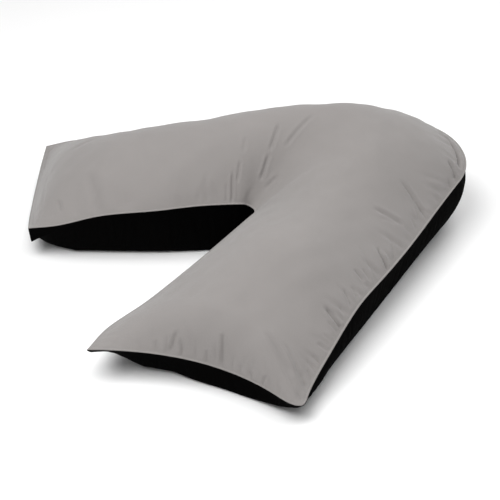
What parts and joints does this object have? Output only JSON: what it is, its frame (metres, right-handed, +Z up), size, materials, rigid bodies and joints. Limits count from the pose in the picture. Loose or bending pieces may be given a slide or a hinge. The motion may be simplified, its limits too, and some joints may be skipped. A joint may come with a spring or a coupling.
{
  "type": "v-shaped pillow",
  "caption": "V-shaped support pillow: two cotton panels, taupe-grey above and black below, sewn edge to edge and stuffed plump, with a round bend and two straight arms.",
  "frame": {"origin": "under the middle of the pillow's outline, on the surface it lies on", "axes": "+Z up from the resting surface to the crown; +Y from the open ends towards the bend; +X across both arms"},
  "size_m": [0.794, 0.7182, 0.1923],
  "materials": {
    "taupe_cotton": "matt plain weave with a faint sheen",
    "black_cotton": "matt plain weave"
  },
  "bodies": {
    "root": {"top_panel": "taupe_cotton", "underside_panel": "black_cotton"}
  },
  "joints": []
}
